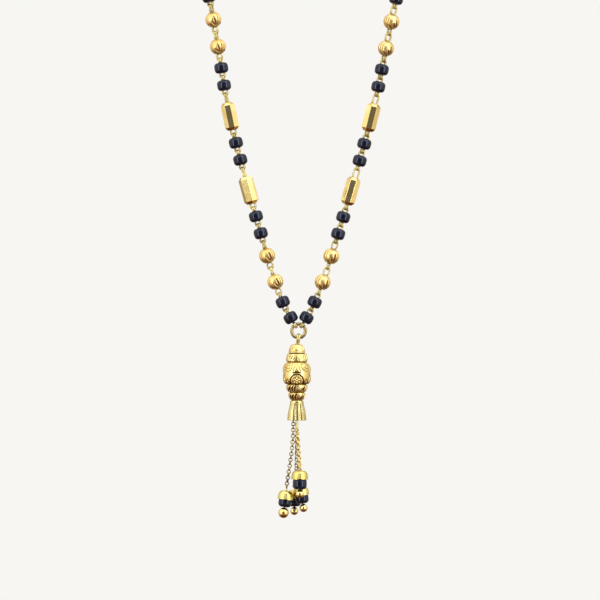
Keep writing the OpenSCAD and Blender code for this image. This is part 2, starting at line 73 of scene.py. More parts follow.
# Columns: length, lower reach, upper reach, plain name
BLACK, BALL, TUBE = 0, 1, 2
BEAD_KINDS = [
    (BLACK_LENGTH, BLACK_REACH, BLACK_REACH, "black_bead"),
    (BALL_D, 1.0, 1.35, "gold_ball"),
    (TUBE_LENGTH, 0.9, 1.85, "gold_tube"),
]
PATTERN = [BLACK, BLACK, BALL, BALL, BLACK, BLACK, TUBE, BLACK, BLACK, TUBE]
FRONT_BEADS = 14
CLASP_HALF_MIN = 4.0
ROUTE_STEPS = 4
# Columns: height above the ring, distance behind the front V, left and right distance from the middle
ROUTE_POINTS = [
    (10, 0, 4.85, 5.05), (20, 0, 7.8, 8.2), (30, 0, 10.6, 11.2), (40, 0, 13.3, 14.0),
    (50, 0, 15.4, 16.5), (60, 0, 17.0, 18.5), (70, 0, 18.8, 20.6), (82, 2, 22.5, 24),
    (95, 8, 30, 31), (108, 19, 41, 41), (119, 34, 51, 51), (128, 52, 57, 57),
    (135, 72, 56, 56), (140, 92, 46, 46), (143, 107, 28, 28), (144, 113, 10, 10), (144, 114, 0, 0),
]
# Columns: name, across, back, cap top below the ring's centre, lean, bead width, bead length,
# bead top below the cap top, tip width
DROPS = [
    ("left", -2.5, -1.0, 33.6, -8, 2.85, 2.25, 1.25, 2.25),
    ("right", 0.33, 0.15, 32.8, 9, 2.85, 2.35, 1.25, 1.75),
    ("back", -0.9, 3.4, 33.6, 0, 2.85, 2.25, 1.25, 1.75),
    ("upper", 0.26, -2.5, 29.3, 0, 3.0, 2.5, 1.5, 1.75),
]
# Columns: start across and back from the pendant's middle, start below the hem, bend across
# and back from the ring's middle, bend below the ring's centre
CHAIN_ROUTES = [
    (-0.74, -0.45, -0.6, -1.32, -0.62, 24.2), (0.06, 0, LOOP_DROP, 0.1, 0.05, 27.5),
    (0.04, 0.8, LOOP_DROP, -0.5, 2.5, 29.5), (0.12, -0.8, LOOP_DROP, 0.08, -1.5, 25.5),
]

# Values that the solids derive in the same way
TURN_OFFSET = WIRE_R * 0.85
HOLE_R = WIRE_R * 0.9 + HOLE_GAP
EYE_OUTER_R = EYE_R + WIRE_R
FLAT_HALF = TURN_OFFSET + 0.42 * WIRE_R
FLAT_RISE = EYE_OUTER_R - math.sqrt(EYE_OUTER_R ** 2 - FLAT_HALF ** 2)
HOOK_OFFSET = (EYE_OUTER_R + FLAT_RISE
               - math.sqrt((EYE_R - WIRE_R - HOOK_GAP) ** 2 - FLAT_HALF ** 2)) / 2
LEAST_SINK, MOUTH_BELOW_EYE, CROWN_BELOW_EYE = 0.1, 0.22, 0.15
EYE_SINK = max(LEAST_SINK, WIRE_R + 2 * EYE_R - BLACK_REACH - HOOK_OFFSET)
MOUTH_R = HOOK_GAP + math.sqrt(EYE_OUTER_R ** 2 - (EYE_OUTER_R - EYE_SINK) ** 2 + FLAT_HALF ** 2)
MOUTH_DEPTH = EYE_SINK + MOUTH_BELOW_EYE
END_EYE_R = RING_WIRE_R + WIRE_R + HOLE_GAP
END_RUN, END_SIDE = RING_R + END_REACH + BLACK_RIM_R, BLACK_D / 2 - BLACK_RIM_R
END_ANGLE = (math.asin((BLACK_RIM_R + HOLE_GAP / 2) / math.hypot(END_RUN, END_SIDE))
             + math.atan(END_SIDE / END_RUN))
TOP_EYE_R = TOP_EYE_D / 2 - TOP_WIRE_R
TOP_EYE_SIDE = 0.6 * PENDANT_LEFT
TOP_EYE_LEAN = math.degrees(math.atan(TOP_EYE_SIDE / TOP_EYE_D))
RING_SAG = RING_R - math.sqrt(RING_R ** 2 - (2 * TOP_WIRE_R) ** 2)
TOP_EYE_Z = -RING_R - TOP_EYE_R + RING_WIRE_R + TOP_WIRE_R + RING_SAG + HOOK_GAP
CROWN_Z = TOP_EYE_Z - TOP_EYE_D / 2 - CROWN_BELOW_EYE
UPPER_COLLAR_D, UPPER_COLLAR_H = 4.6, 1.76
MIDDLE_COLLAR_D, MIDDLE_COLLAR_H = 4.55, 1.62
LOWER_COLLAR_D, LOWER_COLLAR_H = 3.65, 1.56
# The stacked pieces from the top down, with their heights, and the z of each one's top
STACK_HOLE_R = ROD_R + SEAM_GAP
STACK_H = {"crown_cap": CROWN_H, "upper_collar": UPPER_COLLAR_H, "globe": GLOBE_H,
           "middle_collar": MIDDLE_COLLAR_H, "lower_collar": LOWER_COLLAR_H, "skirt": SKIRT_H}
STACK_Z = dict(zip(STACK_H, CROWN_Z - np.cumsum([0] + [h + SEAM_GAP for h in STACK_H.values()])))
HEM_Z = STACK_Z["skirt"] - SKIRT_H
LOOP_BOTTOM_Z = HEM_Z - LOOP_DROP
DROP_HOLE_R = DROP_WIRE_R + HOLE_GAP
DROP_EYE_Z = DROP_EYE_R + DROP_WIRE_R + SEAM_GAP
HALF_FLAT = 180 / TUBE_SIDES

# Outlines. Columns: share of the height, share of the radius
WIDENING = [(0, 0.88), (0.2, 0.93), (0.45, 0.98), (0.75, 1), (1, 0.98)]
NARROWING = [(0, 0.99), (0.25, 1), (0.5, 0.96), (0.75, 0.89), (1, 0.78)]
ROUNDED = [(0, 0.97), (0.2, 1), (0.45, 0.98), (0.75, 0.87), (1, 0.73)]
# Columns: share of the height, share of the way from the top's radius to the rim's
DOME = [(0, 0), (0.12, 0.3), (0.3, 0.58), (0.55, 0.82), (0.8, 0.95), (1, 1)]
CAP_DOME = [(0, 0), (0.05, 0.34), (0.17, 0.63), (0.36, 0.85), (0.62, 0.96), (1, 1)]
FLARE = [(0, 0), (0.25, 0.2), (0.5, 0.6), (0.75, 0.85), (1, 1)]


# Vectors and routes

def unit(v):
    return v / np.linalg.norm(v)


def smooth(points, steps):
    """Points on a Catmull-Rom curve through the given ones."""
    p = [np.array(q, float) for q in points]
    out = []
    for i in range(len(p) - 1):
        a, b, c, d = p[max(i - 1, 0)], p[i], p[i + 1], p[min(i + 2, len(p) - 1)]
        for k in range(steps):
            t = k / steps
            out.append((2 * b + (c - a) * t + (2 * a - 5 * b + 4 * c - d) * t * t
                        + (3 * b - a - 3 * c + d) * t ** 3) / 2)
    return np.array(out + [p[-1]])


def route_marks(points):
    """The distance along a route at which each of its points lies."""
    return np.concatenate([[0], np.cumsum(np.linalg.norm(np.diff(points, axis=0), axis=1))])


def points_at(points, distances):
    """The points at those distances along a route."""
    marks = route_marks(points)
    return np.stack([np.interp(distances, marks, points[:, k]) for k in range(3)], axis=1)


def resample(points, count):
    """That many points, evenly spaced along a route."""
    return points_at(points, np.linspace(0, route_marks(points)[-1], count))


def directions(points, closed):
    """Unit vectors along a line of points."""
    t = np.roll(points, -1, axis=0) - np.roll(points, 1, axis=0)
    if not closed:
        t[0], t[-1] = points[1] - points[0], points[-1] - points[-2]
    return t / np.linalg.norm(t, axis=1)[:, None]


def round_turn(count):
    """Angles evenly spaced round a full turn."""
    return np.linspace(0, 2 * math.pi, count, endpoint=False)


def ease(t):
    t = np.clip(t, 0, 1)
    return t * t * (3 - 2 * t)


# Where each bead and joint lies, worked out as in the solids

def kind_of(i):
    return PATTERN[i % len(PATTERN)]


def lower_reach(i):
    return END_REACH if i == 0 else BEAD_KINDS[kind_of(i)][1]


def pitch(i):
    length, _, upper, _ = BEAD_KINDS[kind_of(i)]
    return lower_reach(i) + length + upper


def string_route(side):
    direction = np.array([side * math.sin(END_ANGLE), 0, math.cos(END_ANGLE)])
    second_joint = direction * (RING_R + pitch(0))
    points = [second_joint] + [(side * (p[2] if side < 0 else p[3]), p[1], p[0]) for p in ROUTE_POINTS]
    return direction * RING_R, smooth(points, ROUTE_STEPS)


def beads_within(room):
    """How many beads fit on one side."""
    count = 1
    while pitch(count) <= room:
        room -= pitch(count)
        count += 1
    return count


ROUTES = {side: string_route(side) for side in (-1, 1)}
SIDE_BEADS = beads_within(min(route_marks(route)[-1] for _, route in ROUTES.values()) - CLASP_HALF_MIN)


def string_joints(side):
    first, route = ROUTES[side]
    return [first, *points_at(route, np.cumsum([0] + [pitch(i) for i in range(1, SIDE_BEADS)]))]


JOINTS = {side: string_joints(side) for side in (-1, 1)}


def frame_at(point, t):
    """A 4x4 frame at a point, whose z runs along t and whose y faces the neck's middle."""
    out = np.array([point[0], point[1] - FRONT_Y, 0])
    back = -unit(out - out.dot(t) * t)
    matrix = np.eye(4)
    matrix[:3, :3] = np.stack([np.cross(back, t), back, t], axis=1)
    matrix[:3, 3] = point
    return matrix


def bead_frame(side, i):
    low, high = JOINTS[side][i], JOINTS[side][i + 1]
    t = unit(high - low)
    return frame_at(low + t * (lower_reach(i) + BEAD_KINDS[kind_of(i)][0] / 2), t)


def turn_z(degrees):
    a = math.radians(degrees)
    matrix = np.eye(4)
    matrix[:2, :2] = [[math.cos(a), -math.sin(a)], [math.sin(a), math.cos(a)]]
    return matrix


def turn_y(degrees):
    a = math.radians(degrees)
    matrix = np.eye(4)
    matrix[0, 0] = matrix[2, 2] = math.cos(a)
    matrix[0, 2], matrix[2, 0] = math.sin(a), -math.sin(a)
    return matrix


def shift(x, y, z):
    matrix = np.eye(4)
    matrix[:3, 3] = (x, y, z)
    return matrix


UPSIDE_DOWN = np.diag([1.0, -1.0, -1.0, 1.0])


def placed(points, matrix):
    return points @ matrix[:3, :3].T + matrix[:3, 3]


# Meshes: a shape is its vertices, its faces and how deep in a groove each vertex lies

def moved(shape, matrix):
    points, faces, depth = shape
    return placed(points, matrix), faces, depth


def joined(shapes):
    points, faces, depths, start = [], [], [], 0
    for p, f, d in shapes:
        points.append(p)
        faces += [tuple(start + k for k in face) for face in f]
        depths.append(d)
        start += len(p)
    return np.concatenate(points), faces, np.concatenate(depths)


def grid(rows, depth=None, wrap_rows=False, caps=False):
    """Quads over rows of points that each go once round. The rows end in caps or join up."""
    count, sides = rows.shape[:2]
    faces = []
    for i in range(count if wrap_rows else count - 1):
        j = (i + 1) % count
        for k in range(sides):
            m = (k + 1) % sides
            faces.append((i * sides + k, i * sides + m, j * sides + m, j * sides + k))
    if caps:
        faces.append(tuple(range(sides - 1, -1, -1)))
        faces.append(tuple((count - 1) * sides + k for k in range(sides)))
    depth = np.zeros((count, sides)) if depth is None else depth
    return rows.reshape(-1, 3), faces, depth.reshape(-1)


def revolve(outer, sides, relief=None, inner=(), closed=True):
    """A profile of (radius, height) points, from the top outward and down, turned about Z.
    relief(angle, height, radius) gives how far the outer points are cut in along their normal."""
    profile = np.array(list(outer) + list(inner), float)
    t = directions(profile, closed)
    normal = np.stack([-t[:, 1], t[:, 0]], axis=1)
    angle = round_turn(sides)
    cut = np.zeros((len(profile), sides))
    if relief:
        shown = profile[:len(outer)]
        cut[:len(outer)] = relief(angle[None, :], shown[:, 1][:, None], shown[:, 0][:, None])
    r = profile[:, 0][:, None] - cut * normal[:, 0][:, None]
    z = profile[:, 1][:, None] - cut * normal[:, 1][:, None]
    rows = np.stack([r * np.cos(angle), r * np.sin(angle), z + 0 * angle], axis=2)
    return grid(rows[::-1], cut[::-1], wrap_rows=closed, caps=not closed)


def sweep(path, radius, sides=8, closed=False):
    """A round wire along a path. An open one is thinner at its ends."""
    path = np.array(path, float)
    count = len(path)
    tangents = directions(path, closed)
    x = unit(np.cross(tangents[0], [0.31, 0.87, 0.39]))
    frames = []
    for t in tangents:
        x = unit(x - x.dot(t) * t)
        frames.append((x, np.cross(t, x)))
    twist, radii = 0.0, np.full(count, float(radius))
    if closed:
        # The frames are turned back little by little, so that the ends meet
        x0, y0 = frames[0]
        end = unit(x - x.dot(tangents[0]) * tangents[0])
        twist = -math.atan2(end.dot(y0), end.dot(x0))
    else:
        radii[0] = radii[-1] = radius * WIRE_TIP
    angle = round_turn(sides)
    rows = np.zeros((count, sides, 3))
    for i, (x, y) in enumerate(frames):
        a = angle + twist * i / count
        rows[i] = path[i] + radii[i] * (np.cos(a)[:, None] * x + np.sin(a)[:, None] * y)
    return grid(rows, wrap_rows=closed, caps=not closed)


def piece(name, shape, material, slot, body, crease=None):
    """The look of one node, in metres, which stands for its solids and moves with their body.
    Faces that meet at more than crease degrees have a sharp edge between them."""
    points, faces, depth = shape
    mesh = bpy.data.meshes.new("look_" + name)
    mesh.from_pydata(((points + RING_CENTRE) / 1000).tolist(), [], faces)
    mesh.update()
    # How deep in a cut each vertex lies, which the gold materials turn into painted shade
    groove = mesh.attributes.new("groove", "FLOAT", "POINT")
    groove.data.foreach_set("value", depth.astype(np.float32))
    mesh.polygons.foreach_set("use_smooth", [True] * len(mesh.polygons))
    if crease:
        mesh.set_sharp_from_angle(angle=math.radians(crease))
    mesh.materials.append(material)
    obj = bpy.data.objects.new("look_" + name, mesh)
    bpy.context.scene.collection.objects.link(obj)
    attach(obj, body)
    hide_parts(name)


# Materials

def node(tree, kind, **sockets):
    """A shader node with the given input values and settings."""
    made = tree.nodes.new(kind)
    for name, value in sockets.items():
        if name in made.inputs:
            made.inputs[name].default_value = value
        else:
            setattr(made, name, value)
    return made


def ramp(tree, factor, stops, smoothly=False):
    made = tree.nodes.new("ShaderNodeValToRGB")
    if smoothly:
        made.color_ramp.interpolation = "EASE"
    while len(made.color_ramp.elements) < len(stops):
        made.color_ramp.elements.new(0.5)
    for element, (position, colour) in zip(made.color_ramp.elements, stops):
        element.position = position
        element.color = (*colour, 1)
    tree.links.new(factor, made.inputs["Fac"])
    return made.outputs["Color"]


def grey(value):
    return (value, value, value)


def noise(tree, scale, detail, stretch=(1, 1, 1)):
    coordinates = tree.nodes.new("ShaderNodeTexCoord")
    mapping = node(tree, "ShaderNodeMapping", Scale=stretch)
    made = node(tree, "ShaderNodeTexNoise", Scale=scale, Detail=detail, Roughness=0.55)
    tree.links.new(coordinates.outputs["Object"], mapping.inputs["Vector"])
    tree.links.new(mapping.outputs["Vector"], made.inputs["Vector"])
    return made.outputs["Fac"]


def mixed(tree, factor, a, b):
    """Two colours mixed by a factor, each a socket or a plain colour."""
    made = node(tree, "ShaderNodeMix", data_type="RGBA")
    for name, value in (("Factor", factor), ("A", a), ("B", b)):
        if isinstance(value, tuple):
            made.inputs[name].default_value = (*value, 1)
        else:
            tree.links.new(value, made.inputs[name])
    return made.outputs["Result"]


def add_bump(tree, shader, height, strength, distance):
    bump = node(tree, "ShaderNodeBump", Strength=strength, Distance=distance)
    tree.links.new(height, bump.inputs["Height"])
    tree.links.new(bump.outputs["Normal"], shader.inputs["Normal"])


def new_material(name):
    material = bpy.data.materials.new(name)
    material.use_nodes = True
    return material, material.node_tree, material.node_tree.nodes["Principled BSDF"]


def gold(name, light, deep, smoothest, roughest, scratch, groove_shade_colour=(0.09, 0.022, 0.014),
         metallic=1.0):
    """Gold with patches of warmer colour and fine scratches. Its colour is painted with shade in the grooves:
    the deeper a point lies in a cut, the darker it is drawn.
    """
    material, tree, shader = new_material(name)
    links = tree.links
    patches = ramp(tree, noise(tree, 420, 2), [(0.38, deep), (0.62, light)], smoothly=True)
    groove = node(tree, "ShaderNodeAttribute", attribute_name="groove").outputs["Fac"]
    # Painted shade: the colour turns to the dark groove colour as the groove depth grows
    shade = ramp(tree, groove, [(0.045, grey(0)), (0.125, grey(1))], smoothly=True)
    links.new(mixed(tree, shade, patches, groove_shade_colour), shader.inputs["Base Color"])
    shader.inputs["Metallic"].default_value = metallic
    fine = ramp(tree, noise(tree, 2600, 4), [(0.3, grey(smoothest)), (0.75, grey(roughest))])
    links.new(mixed(tree, shade, fine, grey(0.45)), shader.inputs["Roughness"])
    height = node(tree, "ShaderNodeMath", operation="ADD")
    links.new(noise(tree, 5200, 3, stretch=(1, 1, 0.12)), height.inputs[0])
    links.new(noise(tree, 900, 2), height.inputs[1])
    add_bump(tree, shader, height.outputs[0], scratch, 0.00004)
    return material


def black_glass():
    """Opaque black glass with a faint blue swirl and a slightly wavy skin."""
    material, tree, shader = new_material("black_glass")
    links = tree.links
    swirl = ramp(tree, noise(tree, 700, 3, stretch=(1, 1, 3)),
                 [(0.4, (0.003, 0.0035, 0.009)), (0.7, (0.009, 0.01, 0.026))], smoothly=True)
    links.new(swirl, shader.inputs["Base Color"])
    fine = ramp(tree, noise(tree, 1800, 3), [(0.35, grey(0.05)), (0.7, grey(0.13))])
    links.new(fine, shader.inputs["Roughness"])
    shader.inputs["IOR"].default_value = 1.5
    shader.inputs["Specular Tint"].default_value = (0.72, 0.78, 1.0, 1)
    add_bump(tree, shader, noise(tree, 650, 2), 0.12, 0.00006)
    return material


# A colour given after the scratch strength is that gold's painted shade in its grooves; the others take the
# dark maroon default
POLISHED = gold("gold_polished", (0.92, 0.73, 0.33), (0.86, 0.64, 0.25), 0.09, 0.16, 0.07)
SATIN = gold("gold_satin", (0.88, 0.66, 0.27), (0.82, 0.55, 0.19), 0.28, 0.38, 0.12,
             (0.2, 0.085, 0.03), metallic=0.86)
ENGRAVED = gold("gold_engraved", (0.88, 0.71, 0.3), (0.8, 0.58, 0.2), 0.25, 0.37, 0.2)
WIRE = gold("gold_wire", (0.72, 0.6, 0.26), (0.54, 0.42, 0.15), 0.24, 0.36, 0.05, metallic=0.85)
# The ring's gold is about half as bright as the other gold: painted shade for the dark reflections on the
# ring
SHADED_RING_GOLD = gold("gold_ring", (0.5, 0.4, 0.2), (0.4, 0.3, 0.13), 0.2, 0.3, 0.08)
FLUTED = gold("gold_fluted", (0.74, 0.62, 0.29), (0.64, 0.51, 0.21), 0.2, 0.3, 0.12, (0.13, 0.1, 0.05))
CAP_GOLD = gold("gold_caps", (0.77, 0.64, 0.22), (0.72, 0.55, 0.15), 0.26, 0.36, 0.12, (0.4, 0.24, 0.07))
# Two copies of one chain gold: a bright one for the upper drop's chain, which hangs nearest the front, and a
# darker one for the others, painted shade
BRIGHT_CHAIN = gold("gold_chain_upper", (0.84, 0.67, 0.28), (0.72, 0.52, 0.17), 0.2, 0.32, 0.05)
SHADED_CHAIN_GOLD = gold("gold_chain", (0.46, 0.37, 0.18), (0.3, 0.22, 0.09), 0.2, 0.32, 0.05)
GLASS = black_glass()


# Beads

def mirrored(points):
    """The other half of an outline that is alike above and below."""
    return [(q[0], -q[1]) for q in points[::-1]]


def fillet(centre, radius, start, end, steps=5):
    angles = np.radians(np.linspace(start, end, steps + 1))
    return [(centre[0] + radius * math.cos(a), centre[1] + radius * math.sin(a)) for a in angles]


# Sides of a glass bead, sides and rows of a ball: in front, and far round the neck
BEAD_SIDES, FAR_BEAD_SIDES = 44, 36
BALL_GRID, FAR_BALL_GRID = (108, 44), (84, 34)
# A glass bead is drawn that much smaller than its solid
GLASS_GAP = 0.02


def glass_bead(width, length, hole, mouth, depth, sides=BEAD_SIDES):
    """A barrel with rounded rims and bulging side, drilled, with softly countersunk ends."""
    half, r, rim, bulge = length / 2, width / 2, BLACK_RIM_R, 0.012
    top = [(hole, half - depth), (mouth - 0.05, half - 0.05), (mouth + 0.06, half - 0.012)]
    top += fillet((r - rim - 0.02, half - rim), rim, 88, 12)
    side = [(r - bulge, 0.35 * half), (r, 0), (r - bulge, -0.35 * half)]
    return revolve(top + side + mirrored(top), sides)


def lens(along_line, across_line, half_length, half_width):
    """1 in the middle of a lens-shaped gouge, 0 outside it."""
    reach = 1 - (along_line / half_length) ** 2
    inside = 1 - (across_line / (half_width * np.sqrt(np.clip(reach, 1e-6, 1)))) ** 2
    return np.where(reach > 0, np.clip(inside, 0, 1), 0)


# Cuts on a ball. Columns: angle from the front to the right, height, slant, half length, half
# width, depth. The set repeats round the ball
BALL_REPEATS = 3
BALL_CUTS = [
    (29, -0.22, 9, 0.95, 0.26, 0.2), (12, -0.8, 34, 0.6, 0.22, 0.17), (-18, -1.24, 58, 0.7, 0.17, 0.15),
    (-43, 0.1, -2, 1.35, 0.12, 0.12), (-66, 0, 0, 1.45, 0.14, 0.14), (48, -0.75, 12, 0.4, 0.12, 0.1),
    (-4, 0.15, 4, 0.5, 0.05, 0.03),
]


def ball_relief(angle, z, r):
    cut = np.zeros(np.broadcast(angle, z).shape)
    for turn, height, slant, half_length, half_width, depth in BALL_CUTS:
        a = math.radians(slant)
        for k in range(BALL_REPEATS):
            away = angle - math.radians(turn - 90 + 360 / BALL_REPEATS * k)
            x = np.sin(away) * r
            up = (z - height) * math.cos(a) - x * math.sin(a)
            across = (z - height) * math.sin(a) + x * math.cos(a)
            gouge = depth * lens(up, across, half_length, half_width)
            cut = np.maximum(cut, np.where(np.cos(away) > 0, gouge, 0))
    return cut


def gold_ball(sides, rows):
    r = BALL_D / 2
    rise = math.degrees(math.acos(MOUTH_R / r))
    lip = r * math.sin(math.radians(rise))
    top = [(HOLE_R, lip - MOUTH_DEPTH * 0.8), (MOUTH_R - 0.04, lip - 0.06)]
    return revolve(top + fillet((0, 0), r, rise, -rise, rows) + mirrored(top), sides, ball_relief)


def gold_tube():
    """Eight flat sides and bevels, every edge worn to a narrow flat."""
    half, edge = TUBE_LENGTH / 2, 0.035
    end, full = TUBE_END_D / 2, TUBE_D / 2
    slope = (full - end) / TUBE_BEVEL
    mouth = MOUTH_R / math.cos(math.pi / TUBE_SIDES)
    profile = [(HOLE_R, half - MOUTH_DEPTH), (mouth, half - 0.05), (mouth + 0.06, half),
               (end - edge, half), (end + edge * slope, half - edge),
               (full - edge * slope, half - TUBE_BEVEL + edge), (full, half - TUBE_BEVEL - edge)]
    profile += mirrored(profile)
    rows = []
    for r, z in profile[::-1]:
        # Each corner is worn to a narrow flat, whose ends lie on the flats beside it
        worn = min(edge / max(r, 0.1), 0.1)
        flat = math.cos(math.pi / TUBE_SIDES) / math.cos(math.pi / TUBE_SIDES - worn)
        corners = [math.pi / TUBE_SIDES * 2 * k for k in range(TUBE_SIDES)]
        rows.append([(r * flat * math.cos(a), r * flat * math.sin(a), z)
                     for corner in corners for a in (corner - worn, corner + worn)])
    return grid(np.array(rows), wrap_rows=True)


# Wire eyes

# The share of a turn that is left out at either end of an eye's two turns
TURN_CUT = 0.04


def loop_line(radius, straight, steps):
    """Points on two turns round a loop, which start and end at its lowest point, as (x, z, turns)."""
    quarter, half = math.pi / 2 * radius, math.pi * radius + straight
    points = []
    for s in np.linspace(TURN_CUT, 2 - TURN_CUT, 2 * steps + 1):
        # The way up on the right. The way down is the same way turned half round
        d = (2 * s % 1) * half
        if d < quarter:
            a = d / radius - math.pi / 2
            x, z = radius * math.cos(a), radius * math.sin(a)
        elif d < quarter + straight:
            x, z = radius, d - quarter
        else:
            a = (d - quarter - straight) / radius
            x, z = radius * math.cos(a), straight + radius * math.sin(a)
        points.append((x, z, s) if s % 1 < 0.5 else (-x, straight - z, s))
    return points


def eye_path(radius, low, straight, offset, root_offset=None, steps=26):
    """A wire that comes up the middle and makes two turns, which lie closer together at the tip
    than at the root. low is the loop's lowest point."""
    high = straight + 2 * radius
    root_offset = root_offset or offset
    path = []
    for x, z, s in loop_line(radius, straight, steps):
        away = root_offset + (offset - root_offset) * float(ease(1.4 * (z + radius) / high))
        path.append((x, away * (2 * float(ease((s - 0.8) / 0.4)) - 1), low + radius + z))
    stem = [(0, 0, low - 0.75), (0, -0.3 * root_offset, low - 0.3), (0.02, -0.8 * root_offset, low - 0.06)]
    return np.array(stem + path)


def bead_eye(reach):
    low = WIRE_R - EYE_SINK
    straight = max(0.0, reach + HOOK_OFFSET - EYE_R - (low + EYE_R))
    return eye_path(EYE_R, low, straight, SEEN_OFFSET, ROOT_OFFSET)


def bead_pin(i, side):
    """The pin of one bead, with both of its eyes, as one wire."""
    length, lower, upper, _ = BEAD_KINDS[kind_of(i)]
    up = placed(bead_eye(upper), shift(0, 0, length / 2) @ turn_z(90 if side < 0 else 0))
    if i == 0:
        eye = eye_path(END_EYE_R, -END_EYE_R, 0, SEEN_OFFSET, steps=30)
        place = shift(0, 0, -length / 2 - END_REACH) @ turn_z(90)
    else:
        eye = bead_eye(lower)
        place = shift(0, 0, -length / 2) @ turn_z(0 if side < 0 else 90)
    down = placed(eye, place @ UPSIDE_DOWN)
    return sweep(np.concatenate([down[::-1], up]), SEEN_WIRE_R)


# The string

def varied(size, share):
    return size * (1 + rng.uniform(-share, share))


# How far to the right of the camera one flat of each front tube faces, in degrees, by side and bead
TUBE_FACES = {(-1, 6): 27, (-1, 9): -5, (1, 6): -3, (1, 9): 4}
# Faces that meet at more than these degrees have a sharp edge
TUBE_CREASE, LATHE_CREASE = 12, 50


def string_bead(side, i, far=False):
    kind = kind_of(i)
    place = bead_frame(side, i)
    if kind == BLACK:
        width, length = varied(BLACK_D - GLASS_GAP, 0.008), varied(BLACK_LENGTH - GLASS_GAP, 0.01)
        shape = glass_bead(width, length, HOLE_R, MOUTH_R, MOUTH_DEPTH, FAR_BEAD_SIDES if far else BEAD_SIDES)
        turn = rng.uniform(0, 360)
    elif kind == BALL:
        shape = gold_ball(*(FAR_BALL_GRID if far else BALL_GRID))
        turn = rng.uniform(-8, 8)
        if far:
            turn += 360 / BALL_REPEATS * rng.randrange(BALL_REPEATS)
    else:
        shape = gold_tube()
        turn = HALF_FLAT * (i + side)
        if (side, i) in TUBE_FACES:
            outward = math.degrees(math.atan2(place[0, 3], FRONT_Y))
            turn = HALF_FLAT + TUBE_FACES[side, i] - outward
    return moved(shape, place @ turn_z(turn))


# Material, slot, body and crease of each kind of bead
KIND_LOOKS = {
    BLACK: (GLASS, "black_glass", "necklace", None),
    BALL: (SATIN, "gold", "necklace", None),
    TUBE: (POLISHED, "gold", "necklace", TUBE_CREASE),
}


def dress_string():
    for side, word in ((-1, "left"), (1, "right")):
        for i in range(FRONT_BEADS):
            kind = kind_of(i)
            piece(f"{BEAD_KINDS[kind][3]}_{word}_{i + 1}", string_bead(side, i), *KIND_LOOKS[kind])
        pins = [moved(bead_pin(i, side), bead_frame(side, i) @ turn_z(rng.uniform(-6, 6)))
                for i in range(1, SIDE_BEADS)]
        piece(f"link_pins_{word}", joined(pins), WIRE, "gold_wire", "necklace")
        end_pin = moved(bead_pin(0, side), bead_frame(side, 0))
        piece(f"end_pin_{word}", end_pin, WIRE, "gold_wire", "necklace")
    for kind in KIND_LOOKS:
        beads = [string_bead(side, i, far=True) for side in (-1, 1)
                 for i in range(FRONT_BEADS, SIDE_BEADS) if kind_of(i) == kind]
        piece(f"back_{BEAD_KINDS[kind][3]}s", joined(beads), *KIND_LOOKS[kind])


def dress_clasp():
    a, b = JOINTS[-1][-1], JOINTS[1][-1]
    half = float(np.linalg.norm(b - a)) / 2 - BLACK_REACH
    corner, end_r = CLASP_D / 5, 0.3
    top = [(end_r, half)] + fillet((CLASP_D / 2 - corner, half - corner), corner, 90, 0, 8)
    barrel = revolve(top + mirrored(top), 48, closed=False)
    places = (shift(0, 0, half) @ turn_z(90), shift(0, 0, -half) @ UPSIDE_DOWN)
    eyes = [moved(sweep(bead_eye(BLACK_REACH), SEEN_WIRE_R), place) for place in places]
    clasp = moved(joined([barrel] + eyes), frame_at((a + b) / 2, unit(b - a)))
    piece("clasp", clasp, POLISHED, "gold", "necklace", LATHE_CREASE)


# The ring and the pendant's core

def dress_ring():
    angle = round_turn(72)
    path = np.stack([RING_R * np.sin(angle), 0 * angle, RING_R * np.cos(angle)], axis=1)
    ring = sweep(path, RING_WIRE_R, 24, closed=True)
    piece("pendant_ring", ring, SHADED_RING_GOLD, "gold", "ring")


def stadium(half_width, top, bottom, steps=24):
    """A closed loop of wire in the XZ plane."""
    a = np.radians(np.linspace(0, 180, steps))
    ends = ((a, top - half_width), (a + math.pi, bottom + half_width))
    return np.concatenate([np.stack([half_width * np.cos(turn), 0 * a, z + half_width * np.sin(turn)], axis=1)
                           for turn, z in ends])


# Thickness of the plate under the skirt's top that carries the stack
PLATE_H = 0.3


def dress_core():
    eye = eye_path(TOP_EYE_R, -TOP_EYE_R, 0, TOP_WIRE_R, steps=40)
    lean = shift(TOP_EYE_SIDE, 0, TOP_EYE_Z - TOP_EYE_R) @ turn_y(TOP_EYE_LEAN) @ shift(0, 0, TOP_EYE_R)
    eye = moved(sweep(eye, TOP_WIRE_R, 14), lean @ turn_z(90))
    top = TOP_EYE_Z - TOP_EYE_R - 0.05
    plate_r, plate_z = ROD_R + SHELL, STACK_Z["skirt"] - SHELL - SEAM_GAP
    rod = [(ROD_R - 0.08, top), (ROD_R, top - 0.1), (ROD_R, plate_z + 0.03), (ROD_R + 0.05, plate_z),
           (plate_r - 0.04, plate_z - 0.01), (plate_r, plate_z - 0.06), (plate_r, plate_z - PLATE_H + 0.05),
           (plate_r - 0.05, plate_z - PLATE_H)]
    rod = revolve(rod, 24, closed=False)
    loop = sweep(stadium(LOOP_W / 2, plate_z - PLATE_H, LOOP_BOTTOM_Z), SEEN_LOOP_R, 16, closed=True)
    core = moved(joined([eye, rod, moved(loop, turn_z(90))]), shift(-PENDANT_LEFT, 0, 0))
    piece("pendant_core", core, WIRE, "gold_wire", "pendant", LATHE_CREASE)


# The stacked pieces. Each outline is a table of shares that is smoothed and then carved

MEDALLION_R, SMALL_RING_R, POINT_W = 1.42, 1.0, 1.6
# Where two stacked pieces meet, each has a lip, set in from its edge, that closes the seam to the eye
LIP, LIP_INSET = SEAM_GAP / 2 - 0.005, 0.25
SEAM_DEPTH, SEAM_HALF = 0.13, 0.09
# How often the patterns repeat round the globe and the collars, and round the crown cap
REPEATS, CROWN_REPEATS = 4, 8
# Depth of the sunk ground in the globe's panels, and the cosine of the angle that a panel reaches to
GROUND, PANEL_COS = 0.07, 0.2


